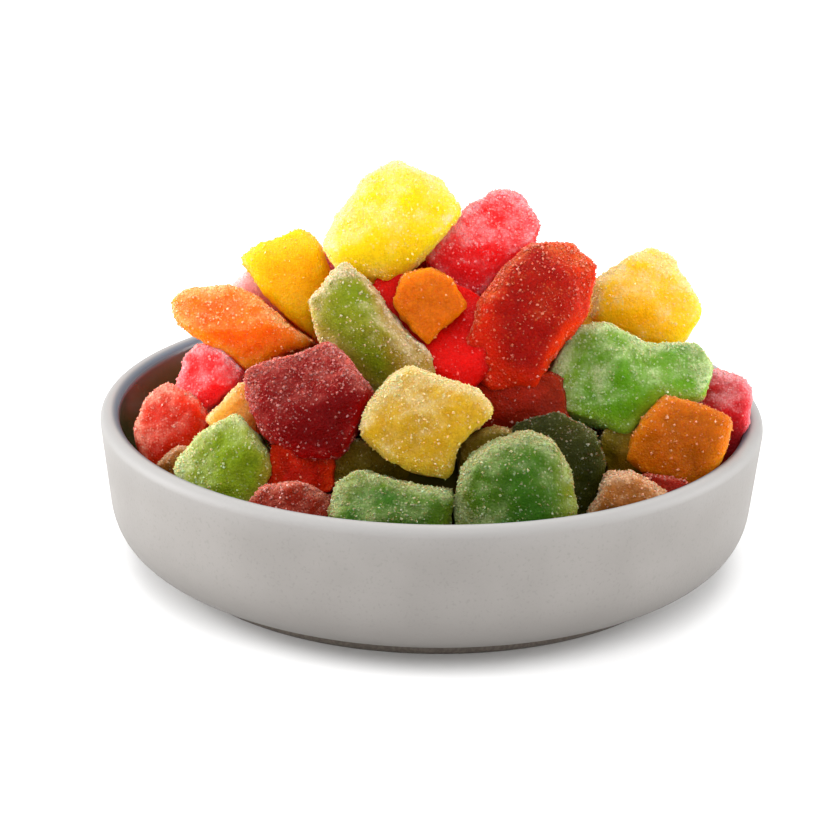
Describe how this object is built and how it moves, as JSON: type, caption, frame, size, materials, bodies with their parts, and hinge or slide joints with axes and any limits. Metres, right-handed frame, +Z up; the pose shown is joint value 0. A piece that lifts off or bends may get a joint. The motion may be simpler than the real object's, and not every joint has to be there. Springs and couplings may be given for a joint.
{
  "type": "bowl of jelly cubes",
  "caption": "Shallow round stoneware bowl on a low foot, heaped with uneven sugar-coated fruit jelly cubes in mixed colours.",
  "frame": {"origin": "centre of the foot ring's underside, where the bowl stands", "axes": "+Z up along the bowl's axis, -Y towards the show side of the heap, +X to the right as seen from there"},
  "size_m": [0.155, 0.155, 0.0953],
  "materials": {
    "stoneware": "matt pale stoneware outside, glossy grey glaze inside",
    "jelly": "soft translucent fruit jelly in mixed colours, coated with coarse sugar"
  },
  "bodies": {
    "root": {"bowl": "stoneware", "jelly_heap": "jelly"}
  },
  "joints": []
}
